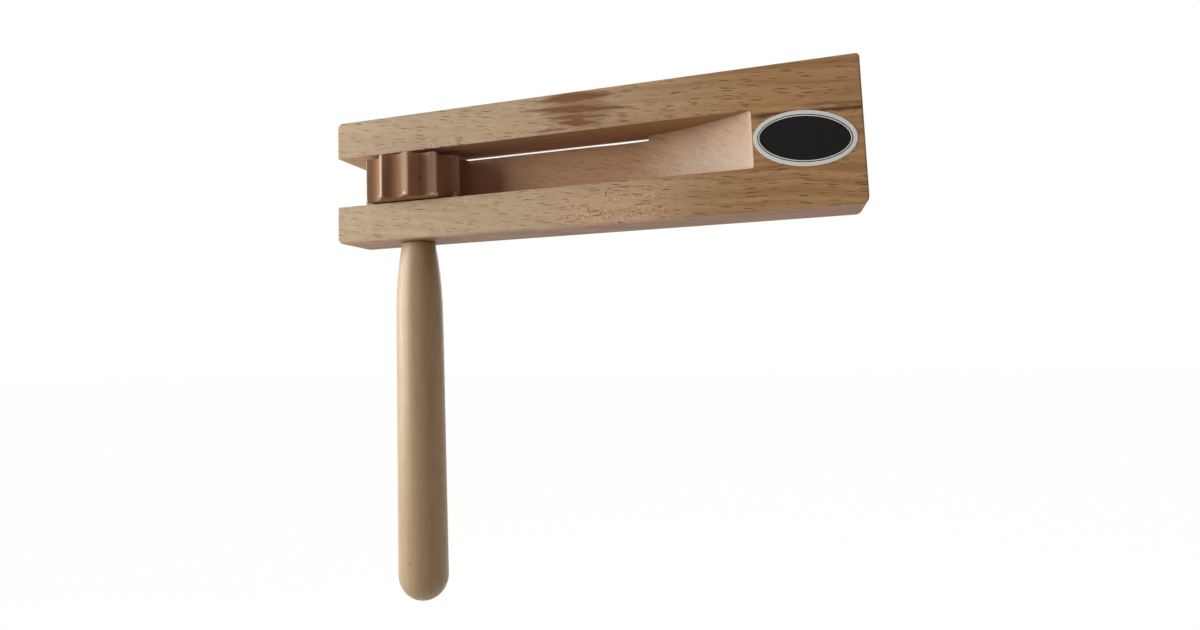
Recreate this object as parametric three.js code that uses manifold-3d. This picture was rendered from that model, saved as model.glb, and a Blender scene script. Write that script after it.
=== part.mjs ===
// Wooden ratchet: a slotted beech block that swings round a turned handle. A cog fixed on the handle's axle
// flicks a springy tongue, which is sawn free at the back of the block's groove.
//
// Units are millimetres and +Z is up. The axle runs along Z, through X = 0 and Y = 0, and Z = 0 is the middle
// of the hand's grip. The block reaches along +X, and its grooved front face looks along -Y.

import * as THREE from 'three';
import { mergeVertices } from 'three/addons/utils/BufferGeometryUtils.js';
import Module from 'manifold-3d';

// Block
const BODY_LENGTH = 195;
const BODY_THICKNESS = 24;
const LOWER_ARM = 15;
const SLOT_HEIGHT = 20;
const UPPER_ARM = 15;
const CORNER_RADIUS = 1.5;
const EDGE_EASE = 0.8;
const AXLE_FROM_END = 30.5;

// Groove and tongue
const TONGUE_THICKNESS = 2.5;
const SAW_KERF = 2.1;
const CUTTER_RADIUS = 91;
const SCOOP_END_FROM_END = 34.3;
const KERF_INTO_RAMP = 21.5;

// Cog
const COG_TEETH = 12;
const COG_TIP_RADIUS = 21.5;
const GULLET_DEPTH = 3.4;
const TOOTH_LAND = 2.3;
const COG_EDGE_EASE = 0.3;
const COG_GAP_BELOW = 0.6;
const COG_GAP_ABOVE = 2.3;
const GULLET_BEFORE_TONGUE = 0.4;
const TIP_CLEARANCE = 0.4;

// Handle and axle
const AXLE_RADIUS = 5;
const NECK_RADIUS = 6.8;
const SHOULDER_RADIUS = 9.4;
const SHOULDER_LENGTH = 29;
const BUTT_RADIUS = 9.85;
const HANDLE_LENGTH = 140;
const GRIP_TO_BODY = 78;
const AXLE_END_RECESS = 0.4;

// Nail
const NAIL_DIAMETER = 1.3;
const NAIL_HEAD_DIAMETER = 2.2;
const NAIL_HEAD_THICKNESS = 0.6;
const NAIL_HEAD_SINK = 0.2;
const NAIL_BITE = 7;
const NAIL_ABOVE_COG_FOOT = 7.2;
const NAIL_GULLETS_FROM_TONGUE = 3;

// Label
const LABEL_LENGTH = 32;
const LABEL_HEIGHT = 18.8;
const LABEL_THICKNESS = 0.2;
const LABEL_FROM_END = 18.1;
const LABEL_ABOVE_FOOT = 23.4;
const LABEL_TILT = THREE.MathUtils.degToRad(7);

// Clearances
const RUNNING_CLEARANCE = 0.3;
const SEAT_GAP = 0.25;

// Facet counts
const ROUND_FACETS = 48;
const NAIL_FACETS = 12;
const ARC_STEPS = 20;
const GULLET_STEPS = 9;
const CORNER_STEPS = 3;

// Places worked out from the driving dimensions
const frontY = -BODY_THICKNESS / 2;
const backY = BODY_THICKNESS / 2;
const floorY = backY - TONGUE_THICKNESS;
const leftX = -AXLE_FROM_END;
const rightX = leftX + BODY_LENGTH;
const scoopEndX = rightX - SCOOP_END_FROM_END;
const bodyFoot = GRIP_TO_BODY;
const slotFoot = bodyFoot + LOWER_ARM;
const slotTop = slotFoot + SLOT_HEIGHT;
const bodyTop = slotTop + UPPER_ARM;
const cutterY = floorY - CUTTER_RADIUS;
const rampStartX = scoopEndX - Math.sqrt(CUTTER_RADIUS ** 2 - (frontY - cutterY) ** 2);
const kerfEndX = rampStartX + KERF_INTO_RAMP;
const cogFoot = slotFoot + COG_GAP_BELOW;
const cogTop = slotTop - COG_GAP_ABOVE;
const cutMargin = BODY_THICKNESS;

// The gullets are arcs that end on the tip circle. Their centres lie on a ring round the axle.
const pitch = (2 * Math.PI) / COG_TEETH;
const landAngle = TOOTH_LAND / COG_TIP_RADIUS;
const gulletHalfAngle = (pitch - landAngle) / 2;
const gulletHalfChord = COG_TIP_RADIUS * Math.sin(gulletHalfAngle);
const gulletFloorRadius = COG_TIP_RADIUS - GULLET_DEPTH;
const gulletRise = COG_TIP_RADIUS * Math.cos(gulletHalfAngle) - gulletFloorRadius;
const gulletRadius = (gulletHalfChord ** 2 + gulletRise ** 2) / (2 * gulletRise);
const gulletRing = gulletFloorRadius + gulletRadius;

// At rest one gullet stands level with the tongue. The tongue's end lies in it and just clears the corner of
// the tooth behind, so that it can spring backwards past that tooth.
const tongueMiddleY = (floorY + backY) / 2;
const meshGulletAngle = Math.asin((tongueMiddleY - GULLET_BEFORE_TONGUE) / gulletRing);
const toothBehindX = COG_TIP_RADIUS * Math.cos(meshGulletAngle + gulletHalfAngle);
const tongueTipX = toothBehindX + TIP_CLEARANCE;
const nailAngle = meshGulletAngle - NAIL_GULLETS_FROM_TONGUE * pitch;
const nailZ = cogFoot + NAIL_ABOVE_COG_FOOT;

const wasm = await Module();
wasm.setup();

// Joins and cuts

function toSolid(geometry) {
  const bare = geometry.index ? geometry.toNonIndexed() : geometry.clone();
  bare.deleteAttribute('normal');
  bare.deleteAttribute('uv');
  const welded = mergeVertices(bare, 1e-4);
  return new wasm.Manifold(new wasm.Mesh({
    numProp: 3,
    vertProperties: new Float32Array(welded.attributes.position.array),
    triVerts: new Uint32Array(welded.index.array),
  }));
}

function toGeometry(solid) {
  const mesh = solid.getMesh();
  const geometry = new THREE.BufferGeometry();
  geometry.setAttribute('position', new THREE.BufferAttribute(mesh.vertProperties, 3));
  geometry.setIndex(new THREE.BufferAttribute(mesh.triVerts, 1));
  geometry.computeVertexNormals();
  return geometry;
}

function cut(geometry, ...cutters) {
  return toGeometry(cutters.reduce((solid, cutter) => solid.subtract(toSolid(cutter)), toSolid(geometry)));
}

// Base shapes

function boxBetween(low, high) {
  const size = new THREE.Vector3().subVectors(high, low);
  const middle = new THREE.Vector3().addVectors(low, high).multiplyScalar(0.5);
  return new THREE.BoxGeometry(size.x, size.y, size.z).translate(middle.x, middle.y, middle.z);
}

function uprightCylinder(radius, foot, top) {
  return new THREE.CylinderGeometry(radius, radius, top - foot, ROUND_FACETS)
    .rotateX(Math.PI / 2)
    .translate(0, 0, (foot + top) / 2);
}

function extrudeUp(shape, foot, top, curveSegments) {
  return new THREE.ExtrudeGeometry(shape, { depth: top - foot, bevelEnabled: false, curveSegments })
    .translate(0, 0, foot);
}

function roundedRectangle(x0, y0, x1, y1, radius) {
  const shape = new THREE.Shape();
  shape.moveTo(x0 + radius, y0);
  shape.lineTo(x1 - radius, y0);
  shape.absarc(x1 - radius, y0 + radius, radius, -Math.PI / 2, 0);
  shape.lineTo(x1, y1 - radius);
  shape.absarc(x1 - radius, y1 - radius, radius, 0, Math.PI / 2);
  shape.lineTo(x0 + radius, y1);
  shape.absarc(x0 + radius, y1 - radius, radius, Math.PI / 2, Math.PI);
  shape.lineTo(x0, y0 + radius);
  shape.absarc(x0 + radius, y0 + radius, radius, Math.PI, 1.5 * Math.PI);
  return shape;
}

// Block: a planed bar with eased edges, forked by the slot, scooped by a large round cutter and bored

function plainBar() {
  const side = roundedRectangle(leftX, bodyFoot, rightX, bodyTop, CORNER_RADIUS);
  return new THREE.ExtrudeGeometry(side, {
    depth: BODY_THICKNESS - 2 * EDGE_EASE,
    bevelThickness: EDGE_EASE,
    bevelSize: EDGE_EASE,
    bevelOffset: -EDGE_EASE,
    bevelSegments: 2,
    curveSegments: CORNER_STEPS,
  })
    .rotateX(Math.PI / 2)
    .translate(0, backY - EDGE_EASE, 0);
}

function cutterAngleAtX(x) {
  return Math.acos((x - rampStartX) / CUTTER_RADIUS);
}

function cutterAngleAtY(y) {
  return Math.asin((y - cutterY) / CUTTER_RADIUS);
}

function scoopCutter() {
  const clearY = frontY - EDGE_EASE;
  const plan = new THREE.Shape();
  plan.moveTo(leftX - cutMargin, clearY);
  plan.lineTo(leftX - cutMargin, floorY);
  plan.lineTo(rampStartX, floorY);
  plan.absarc(rampStartX, cutterY, CUTTER_RADIUS, Math.PI / 2, cutterAngleAtY(clearY), true);
  plan.closePath();
  return extrudeUp(plan, slotFoot, slotTop, ARC_STEPS);
}

function forkCutter() {
  return boxBetween(
    new THREE.Vector3(leftX - cutMargin, frontY - cutMargin, slotFoot),
    new THREE.Vector3(kerfEndX, backY + cutMargin, slotTop),
  );
}

function bodyBlock() {
  const bore = uprightCylinder(AXLE_RADIUS + RUNNING_CLEARANCE, bodyFoot - cutMargin, bodyTop + cutMargin);
  return cut(plainBar(), forkCutter(), scoopCutter(), bore);
}

// Tongue: the strip left at the back of the groove, thickening into the ramp at its root

function tongue() {
  const plan = new THREE.Shape();
  plan.moveTo(tongueTipX, backY);
  plan.lineTo(tongueTipX, floorY);
  plan.lineTo(rampStartX, floorY);
  plan.absarc(rampStartX, cutterY, CUTTER_RADIUS, Math.PI / 2, cutterAngleAtX(kerfEndX), true);
  plan.lineTo(kerfEndX, backY);
  plan.closePath();
  return extrudeUp(plan, slotFoot + SAW_KERF, slotTop - SAW_KERF, ARC_STEPS);
}

// Nail: a small brad, driven towards the axle from the floor of one gullet

const nailHeadRadius = gulletFloorRadius - NAIL_HEAD_SINK;
const nailPointRadius = AXLE_RADIUS - NAIL_BITE;

function alongNail(geometry) {
  return geometry
    .rotateZ(-Math.PI / 2)
    .rotateZ(nailAngle)
    .translate(0, 0, nailZ);
}

function nail() {
  const shank = NAIL_DIAMETER / 2;
  const head = NAIL_HEAD_DIAMETER / 2;
  const profile = [
    new THREE.Vector2(0, nailPointRadius),
    new THREE.Vector2(shank, nailPointRadius + NAIL_DIAMETER),
    new THREE.Vector2(shank, nailHeadRadius - NAIL_HEAD_THICKNESS),
    new THREE.Vector2(head, nailHeadRadius - NAIL_HEAD_THICKNESS),
    new THREE.Vector2(head, nailHeadRadius),
    new THREE.Vector2(0, nailHeadRadius),
  ];
  return alongNail(new THREE.LatheGeometry(profile, NAIL_FACETS));
}

function nailHole() {
  const shank = NAIL_DIAMETER / 2 + SEAT_GAP;
  const head = NAIL_HEAD_DIAMETER / 2 + SEAT_GAP;
  const seat = nailHeadRadius - NAIL_HEAD_THICKNESS - SEAT_GAP;
  const profile = [
    new THREE.Vector2(0, nailPointRadius - SEAT_GAP),
    new THREE.Vector2(shank, nailPointRadius - SEAT_GAP),
    new THREE.Vector2(shank, seat),
    new THREE.Vector2(head, seat),
    new THREE.Vector2(head, COG_TIP_RADIUS),
    new THREE.Vector2(0, COG_TIP_RADIUS),
  ];
  return alongNail(new THREE.LatheGeometry(profile, NAIL_FACETS));
}

// Cog: round gullets between narrow lands, drilled for the axle and the nail

function cogOutline() {
  const outline = new THREE.Shape();
  const swing = Math.atan2(gulletHalfChord, gulletRing - COG_TIP_RADIUS * Math.cos(gulletHalfAngle));
  for (let tooth = 0; tooth < COG_TEETH; tooth += 1) {
    const gulletAngle = meshGulletAngle + tooth * pitch;
    const centreX = gulletRing * Math.cos(gulletAngle);
    const centreY = gulletRing * Math.sin(gulletAngle);
    const inward = gulletAngle + Math.PI;
    for (let step = 0; step <= GULLET_STEPS; step += 1) {
      const angle = inward + swing - (2 * swing * step) / GULLET_STEPS;
      const x = centreX + gulletRadius * Math.cos(angle);
      const y = centreY + gulletRadius * Math.sin(angle);
      if (tooth === 0 && step === 0) {
        outline.moveTo(x, y);
      } else {
        outline.lineTo(x, y);
      }
    }
  }
  outline.closePath();
  return outline;
}

function cogWheel() {
  const blank = new THREE.ExtrudeGeometry(cogOutline(), {
    depth: cogTop - cogFoot - 2 * COG_EDGE_EASE,
    bevelThickness: COG_EDGE_EASE,
    bevelSize: COG_EDGE_EASE,
    bevelOffset: -COG_EDGE_EASE,
    bevelSegments: 1,
  }).translate(0, 0, cogFoot + COG_EDGE_EASE);
  const bore = uprightCylinder(AXLE_RADIUS + SEAT_GAP, cogFoot - cutMargin, cogTop + cutMargin);
  return cut(blank, bore, nailHole());
}

// Handle: grip and axle turned from one stick, with a round butt and a shoulder that swells from the neck

function handleProfile() {
  const neckZ = bodyFoot - RUNNING_CLEARANCE;
  const shoulderZ = neckZ - SHOULDER_LENGTH;
  const buttZ = bodyFoot - HANDLE_LENGTH;
  const swell = SHOULDER_RADIUS - NECK_RADIUS;
  const arcRadius = (SHOULDER_LENGTH ** 2 + swell ** 2) / (2 * swell);
  const arcTurn = Math.asin(SHOULDER_LENGTH / arcRadius);
  const profile = [new THREE.Vector2(0, buttZ)];
  for (let step = 1; step <= CORNER_STEPS * 3; step += 1) {
    const angle = (Math.PI / 2) * (step / (CORNER_STEPS * 3));
    const radius = BUTT_RADIUS * Math.sin(angle);
    profile.push(new THREE.Vector2(radius, buttZ + BUTT_RADIUS * (1 - Math.cos(angle))));
  }
  for (let step = 0; step <= CORNER_STEPS * 3; step += 1) {
    const angle = arcTurn * (step / (CORNER_STEPS * 3));
    const radius = SHOULDER_RADIUS - arcRadius * (1 - Math.cos(angle));
    profile.push(new THREE.Vector2(radius, shoulderZ + arcRadius * Math.sin(angle)));
  }
  profile.push(new THREE.Vector2(AXLE_RADIUS, neckZ));
  profile.push(new THREE.Vector2(AXLE_RADIUS, bodyTop - AXLE_END_RECESS));
  profile.push(new THREE.Vector2(0, bodyTop - AXLE_END_RECESS));
  return profile;
}

function handle() {
  const turned = new THREE.LatheGeometry(handleProfile(), ROUND_FACETS).rotateX(Math.PI / 2);
  return cut(turned, nailHole());
}

// Label: a thin oval sticker on the solid end of the front face

function label() {
  const oval = new THREE.Shape();
  oval.absellipse(0, 0, LABEL_LENGTH / 2, LABEL_HEIGHT / 2, 0, 2 * Math.PI);
  return new THREE.ExtrudeGeometry(oval, {
    depth: LABEL_THICKNESS,
    bevelEnabled: false,
    curveSegments: ARC_STEPS,
  }).rotateX(Math.PI / 2);
}

// Assembly

function wood(color, roughness) {
  return new THREE.MeshStandardMaterial({ color, roughness, metalness: 0 });
}

function piece(name, geometry, material) {
  const mesh = new THREE.Mesh(geometry, material);
  mesh.name = name;
  return mesh;
}

const labelMesh = piece('label', label(), new THREE.MeshStandardMaterial({
  color: 0x1c1d1d,
  roughness: 0.35,
  metalness: 0,
}));
labelMesh.position.set(rightX - LABEL_FROM_END, frontY, bodyFoot + LABEL_ABOVE_FOOT);
labelMesh.rotation.y = LABEL_TILT;

const ratchet = new THREE.Group();
ratchet.name = 'wooden_ratchet';
ratchet.add(
  piece('handle', handle(), wood(0xc9a683, 0.5)),
  piece('cog_wheel', cogWheel(), wood(0xa57a5c, 0.65)),
  piece('cog_nail', nail(), new THREE.MeshStandardMaterial({
    color: 0x4a4541,
    roughness: 0.5,
    metalness: 1,
  })),
  piece('body_block', bodyBlock(), wood(0xb28e69, 0.6)),
  piece('tongue', tongue(), wood(0xb08a66, 0.6)),
  labelMesh,
);

export default ratchet;
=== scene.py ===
"""Looks of a wooden ratchet: planed beech block, turned handle, fluted cog and blank oval sticker."""

import math

import bmesh
import bpy
from mathutils import Matrix, Vector, noise


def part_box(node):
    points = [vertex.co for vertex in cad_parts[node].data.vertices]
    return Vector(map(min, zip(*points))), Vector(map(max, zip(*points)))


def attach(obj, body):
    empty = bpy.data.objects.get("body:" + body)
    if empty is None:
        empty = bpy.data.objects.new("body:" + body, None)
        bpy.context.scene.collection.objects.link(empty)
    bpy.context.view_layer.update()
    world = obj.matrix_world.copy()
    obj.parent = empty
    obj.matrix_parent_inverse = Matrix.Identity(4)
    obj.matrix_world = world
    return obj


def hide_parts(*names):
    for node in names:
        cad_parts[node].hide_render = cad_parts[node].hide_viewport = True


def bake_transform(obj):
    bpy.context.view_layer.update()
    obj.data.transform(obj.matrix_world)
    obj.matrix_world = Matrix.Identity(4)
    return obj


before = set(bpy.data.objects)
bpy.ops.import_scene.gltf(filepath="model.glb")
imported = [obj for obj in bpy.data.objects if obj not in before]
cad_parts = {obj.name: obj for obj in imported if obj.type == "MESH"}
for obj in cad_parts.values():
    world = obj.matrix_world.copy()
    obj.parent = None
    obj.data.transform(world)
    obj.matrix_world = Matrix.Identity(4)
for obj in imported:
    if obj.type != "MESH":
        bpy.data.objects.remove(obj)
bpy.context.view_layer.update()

# Sizes and places are in millimetres, and angles in radians
MM = 0.001

# Block
SAW_KERF = 2.1
TONGUE_THICKNESS = 2.5
CUTTER_RADIUS = 91
SCOOP_END_FROM_END = 34.3
LONG_EDGE_ROUND = 0.9
FRONT_FOOT_ROUND = 0.9
FRONT_FOOT_WANDER = 0.4
WANDER_SPACING = 13
ARM_END_ROUND = 2.2
ARM_SIDE_ROUND = 0.5
RIGHT_TOP_ROUND = 1.2
RIGHT_FOOT_ROUND = 2.5
RIGHT_SIDE_ROUND = 0.5
END_ROUND_SHRINK = 0.6
END_ROUND_LEAST = 0.15
SLOT_EDGE_ROUND = 0.2
SLOT_EDGE_WANDER = 0.1
CUTTER_SLACK = 1.03
CUTTER_OVERSHOOT = 1
UPPER_MOUTH_ROUND = 1.6
LOWER_MOUTH_ROUND = 0.9
SCOOP_LIP = 1.3
BORE_RADIUS = 5.3
BORE_FLARE = 0.3
TEAR_FROM_X = 9
TEAR_TO_X = 25
TEAR_DEPTH = 1.1
OUTER_TEAR_DEPTH = TEAR_DEPTH / 5
TEAR_SPACING = 1.1
TEAR_SEED = 4.2
TONGUE_EDGE_ROUND = 0.2
TONGUE_LEAST_ROUND = 0.04
TONGUE_ROOT_INSET = 0.35
TONGUE_ROOT_STEP = 0.02
TONGUE_ROOT_REACH = 1.2
UPPER_KERF_SLANT = 1.05
ROOT_KERF_SLANT = 0.4
TONGUE_BACK_NORMAL = 0.9

# Figure of beech: how its grain runs, and sizes of its patches along, through and across the grain
WOOD_PLACE = "wood_place"
GRAIN_LEAN = math.radians(-5)
UPRIGHT_GRAIN = (0, math.radians(90), 0)
RING_LEAN = -0.8
GRAIN_SWEEP = 0.0004
GRAIN_SWEEP_X = 75
GRAIN_WANDER_CELL = (38, 40, 22)
GRAIN_WANDER = (0, 7, 5)
STREAK_CELL = (70, 7, 2.2)
CLOUD_CELL = (9, 9, 3)
PORE_CELL = (2.0, 0.6, 0.42)
FLECK_CELL = (8.8, 0.68, 1)
FLECK_RAGGED_CELL = (2.5, 6, 1.4)
FLECK_RAGGED = (2, 0, 0.5)
END_PORE_CELL = (8, 0.55, 0.55)
RING_SPACING = 3.4
PITH_AWAY = (0, 46, -38)

# Marks on the block, by their places along it, through it and up it
FLECK_SKIN = 0.4
FACE_SKIN = 0.6
FACE_FADE = 2.5
LEFT_END_SKIN = 0.5
RIGHT_END_SKIN = 0.6
PALE_TO_X = 52
WARM_FROM_X = 130
# The edge stain grows from weaker at the left end to full: the weaker left end is painted light where the
# handle shades the underside
EDGE_TINT_FROM_X = -20
EDGE_TINT_TO_X = 35
STAIN_CELL = (11, 8, 2)
STAIN_WANDER = (12, 0, 2.8)
STAIN_AT_BACK = 0.5
FINGER_POINT = 1.4
# Fingers of the stain: left tip (x, z), right tip (x, z), half thickness, strength. The first is the haze
STAIN_FINGERS = (
    (56, 121.0, 87, 119.0, 9.0, 0.5),
    (52, 126.3, 87, 125.2, 2.6, 1.0),
    (46, 123.4, 94, 118.8, 2.1, 1.0),
    (54, 119.4, 86, 117.4, 1.5, 0.95),
    (60, 116.6, 79, 115.6, 2.1, 1.0),
    (50, 114.2, 70, 114.0, 0.8, 0.8),
)
# Dark growth lines: height, start along the block, half width, colour and strength
DARK_STREAKS = (
    (110.3, 131, 1.25, "#4b2b19", 1.0),
    (112.0, 148, 0.8, "#5d3a22", 0.6),
)
DARK_STREAK_SINK = 1.1
DARK_STREAK_WANDER = 1.0
DARK_STREAK_SPACING = 8
DARK_STREAK_FADE_BEFORE = 7
DARK_STREAK_FULL_AFTER = 3
DARK_STREAK_CORE = 0.1
DARK_STREAK_WIDEST = 1.4
DARK_STREAK_THINNEST = 0.6
GRIT_CELL = (1.1, 4, 0.7)
GRIT_CLUSTER_CELL = (7, 9, 2.4)
TORN_X = 82
TORN_REACH = 30
TORN_BELOW_SLOT = 6
TEAR_MARK_ABOVE_SLOT = 0.5
TEAR_MARK_HALF = 0.8
WALL_FROM_CORNER = 0.3
WALL_TO_CORNER = 0.05
CUTTER_WAVE_CELL = (1.6, 1.6, 40)
ACROSS_GRAIN_FROM_X = 78
ACROSS_GRAIN_TO_X = 124
# Stretches of the groove with a tint: x where it begins and x where it is full
GROOVE_TINTS = {
    # Painted shade: the ramp is darker at its top, under the upper arm
    "ramp top painted shade": (72, 88),
    "ramp foot": (90, 106),
    # Painted light: the tongue and the groove beside the cog are paler, where the cog shades them
    "tongue": (80, 35),
    "cog side painted light": (46, 22),
    # Painted light: paler at the fork's open mouth, where light comes in
    "fork mouth painted light": (-4, -16),
}

# Cog
COG_TEETH = 12
COG_TIP_RADIUS = 21.5
GULLET_DEPTH = 3.4
TOOTH_LAND = 2.3
GULLET_BEFORE_TONGUE = 0.4
COG_BORE_RADIUS = 5.25
COG_EDGE_EASE = 0.3
COG_WEAR_REACH = 5
COG_WEAR_DROP = 2.2
COG_WEAR_BLEND = 0.4
CHIP_DEPTH = 0.9
CHIP_HEIGHT = 1.5
CHIP_SIZE = 1.4
CHIP_REACH = 1.6
CHIP_SKIN = 0.1
CHIP_LIFT = 0.7
LAND_SKIN = 0.1
LAND_FADE = 0.5
SLOPE_SKIN = 0.6
SLOPE_FADE = 2
MERGE_DISTANCE = 0.01

# Slivers of torn fibre on the cog's foot. Each starts up to the reach before its tooth's crest
SLIVERS_PER_TOOTH = 7
SLIVER_LENGTH = 2.4
SLIVER_RADIUS = 0.45
SLIVER_SIDES = 5
SLIVER_REACH = 2.8
SLIVER_SLOPE = 0.3
SLIVER_SINK = 0.3
SLIVER_LOWEST = 0.2
SLIVER_HIGHEST = 0.7
SLIVER_LEAN = 0.35
SLIVER_LEAST_SIZE = (0.5, 0.5, 0.4)
SLIVER_MOST_SIZE = (1.2, 1.2, 1)
SLIVER_SEED = 7
FUZZ_CELL = (0.6, 0.6, 1.5)

# Nail
NAIL_GULLETS_FROM_TONGUE = 3
NAIL_ABOVE_COG_FOOT = 7.2
NAIL_HEAD_RADIUS = 1.1
NAIL_SHANK_RADIUS = 0.65
NAIL_HEAD_SINK = 0.2
NAIL_HEAD_DOME = 0.18
NAIL_HEAD_THICKNESS = 0.6
NAIL_HEAD_TAPER = 0.1
NAIL_HOLE_RADIUS = 0.45
NAIL_LENGTH = 19.9
RUST_CELL = (0.5, 0.5, 0.5)

# Handle
AXLE_RADIUS = 5
NECK_RADIUS = 6.8
SHOULDER_RADIUS = 9.4
SHOULDER_LENGTH = 29
NECK_EDGE_ROUND = 0.4
AXLE_TOP_EASE = 0.3
HANDLE_TO_BLOCK = 0.3
NICK_PLACE = (-1.36, -9.75, -46.4)
NICK_SIZE = (0.4, 0.8, 1.0)

# Label
LABEL_LENGTH = 32
LABEL_HEIGHT = 18.8
LABEL_TILT = math.radians(7)
LABEL_EDGE_ROUND = 0.06
LABEL_EDGE_MIDDLE = 0.3 * LABEL_EDGE_ROUND
LABEL_RIM = 1.25
LABEL_LINE = 0.32
LABEL_GAP = 0.32
INK_CELL = (2.5, 2.5, 1.2)

# Facets
CORNER_STEPS = 5
END_STEPS = 8
BLOCK_STATION = 2.6
EDGE_STATION = 0.6
ARC_STEPS = 64
ROUND_FACETS = 128
NAIL_FACETS = 24
NAIL_DOME_STEPS = 5
TURNING_STEPS = 24
GRIP_STEPS = 20
NECK_STEPS = 4
GULLET_STEPS = 22
LAND_STEPS = 5
FLANK_ROWS = 30
SMOOTH_ANGLE = math.radians(32)

# Camera, from straight edges of the photograph, which is 1200 x 630 pixels
PHOTO_WIDTH = 1200
PHOTO_HEIGHT = 630
SENSOR_WIDTH = 36
FOCAL_PIXELS = 784.2
AXIS_PIXEL = (483.0, 267.1)
CAMERA_PLACE = (135.94, -286.68, 35.95)
CAMERA_HEADING = math.radians(20.696)
CAMERA_PITCH = math.radians(5.676)
CAMERA_ROLL = math.radians(-1.317)
CAMERA_NEAREST = 10

# Stage
FLOOR_BELOW_BUTT = 300
FLOOR_SIZE = 20000
FLOOR_WHITE_SHARE = 0.85
FLOOR_WHITE = 1.155
SOFT_LIGHT = 0.2
# Soft boxes: name, place, aim, width, height, power in watts and colour
SOFT_BOXES = (
    ("window_left", (-600, -430, 165), (0, -430, 120), 960, 420, 10.8, "#fffefc"),
    ("soft_box_right", (670, 95, 165), (60, 0, 90), 500, 420, 0.3, "#ffcdb4"),
    ("soft_box_back", (-150, 760, 330), (60, 0, 90), 800, 500, 3.7, "#fffaf4"),
    ("soft_box_top", (460, 40, 560), (110, 0, 110), 300, 200, 1.1, "#fffaf4"),
)


def box_mm(node_name):
    low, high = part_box(node_name)
    return low / MM, high / MM


# Places worked out from the frame
block_low, block_high = box_mm("body_block")
tongue_low, tongue_high = box_mm("tongue")
cog_low, cog_high = box_mm("cog_wheel")
handle_low, handle_high = box_mm("handle")
label_low, label_high = box_mm("label")
front_y, back_y = block_low.y, block_high.y
left_x, right_x = block_low.x, block_high.x
slot_foot = tongue_low.z - SAW_KERF
slot_top = tongue_high.z + SAW_KERF
kerf_end_x = tongue_high.x
floor_y = back_y - TONGUE_THICKNESS
cutter_y = floor_y - CUTTER_RADIUS
scoop_end_x = right_x - SCOOP_END_FROM_END
ramp_start_x = scoop_end_x - math.sqrt(CUTTER_RADIUS**2 - (front_y - cutter_y) ** 2)
cut_margin = back_y - front_y

pitch_angle = 2 * math.pi / COG_TEETH
gullet_half_angle = (pitch_angle - TOOTH_LAND / COG_TIP_RADIUS) / 2
gullet_floor = COG_TIP_RADIUS - GULLET_DEPTH
gullet_half_chord = COG_TIP_RADIUS * math.sin(gullet_half_angle)
gullet_rise = COG_TIP_RADIUS * math.cos(gullet_half_angle) - gullet_floor
gullet_radius = (gullet_half_chord**2 + gullet_rise**2) / (2 * gullet_rise)
gullet_ring = gullet_floor + gullet_radius
crest_angle = pitch_angle - gullet_half_angle
tongue_middle_y = (floor_y + back_y) / 2
first_gullet_angle = math.asin((tongue_middle_y - GULLET_BEFORE_TONGUE) / gullet_ring)
nail_place = Matrix.Translation((0, 0, cog_low.z + NAIL_ABOVE_COG_FOOT))
nail_place @= Matrix.Rotation(first_gullet_angle - NAIL_GULLETS_FROM_TONGUE * pitch_angle, 4, "Z")
nail_place @= Matrix.Rotation(math.pi / 2, 4, "Y")


# Nodes and colours


def linear(hex_colour):
    """An sRGB hex colour as linear RGBA."""
    parts = [int(hex_colour[i : i + 2], 16) / 255 for i in (1, 3, 5)]
    return (*[c / 12.92 if c <= 0.04045 else ((c + 0.055) / 1.055) ** 2.4 for c in parts], 1.0)


def node(tree, kind, inputs=None, out=0, **settings):
    """Adds a node with its settings, sets or links its inputs, and returns one of its outputs."""
    made = tree.nodes.new(kind)
    for name, value in settings.items():
        setattr(made, name, value)
    for key, value in (inputs or {}).items():
        if isinstance(value, bpy.types.NodeSocket):
            tree.links.new(value, made.inputs[key])
        else:
            made.inputs[key].default_value = value
    return made.outputs[out] if len(made.outputs) else made


def sizes(x, y, z):
    """Mapping scale for a pattern whose cells are this large in millimetres."""
    return (1 / x, 1 / y, 1 / z)


def new_material(name):
    material = bpy.data.materials.new(name)
    material.use_nodes = True
    material.node_tree.nodes.clear()
    return material, material.node_tree


def where_all(tree, *shares):
    """Product of several shares: full only where all of them are."""
    product = shares[0]
    for share in shares[1:]:
        product = node(tree, "ShaderNodeMath", {0: product, 1: share}, operation="MULTIPLY")
    return product


def stained(tree, colour, stains):
    """Lays stains over a colour, each given as its hex colour and the shares that weigh it."""
    for tint, *shares in stains:
        share = where_all(tree, *shares)
        colour = node(tree, "ShaderNodeMix", {0: share, 6: colour, 7: linear(tint)}, 2, data_type="RGBA")
    return colour


def finish_material(tree, colour, stains, dull, bump, **fixed):
    """Closes a material with a Principled surface.

    Dull is a share, with the roughness where it is empty and where it is full. Bump is a height, its
    strength and its rise. Numbers that hold all over go on the surface's own sockets.
    """
    share, least, most = dull
    height, strength, rise = bump
    relief = {"Height": height, "Strength": strength, "Distance": rise * MM}
    inputs = {
        "Base Color": stained(tree, colour, stains),
        "Roughness": node(tree, "ShaderNodeMapRange", {0: share, 3: least, 4: most}),
        "Normal": node(tree, "ShaderNodeBump", relief),
    }
    inputs.update({name.replace("_", " "): value for name, value in fixed.items()})
    surface = node(tree, "ShaderNodeBsdfPrincipled", inputs)
    node(tree, "ShaderNodeOutputMaterial", {"Surface": surface})


def object_places(tree):
    """Places on a rigid piece, in millimetres."""
    place = node(tree, "ShaderNodeTexCoord", out="Object")
    return node(tree, "ShaderNodeMapping", {"Vector": place, "Scale": (1 / MM,) * 3})


def away_from(tree, value, middle):
    """How far a value lies from a middle, on either side."""
    off = node(tree, "ShaderNodeMath", {0: value, 1: middle}, operation="SUBTRACT")
    return node(tree, "ShaderNodeMath", {0: off}, operation="ABSOLUTE")


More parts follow.
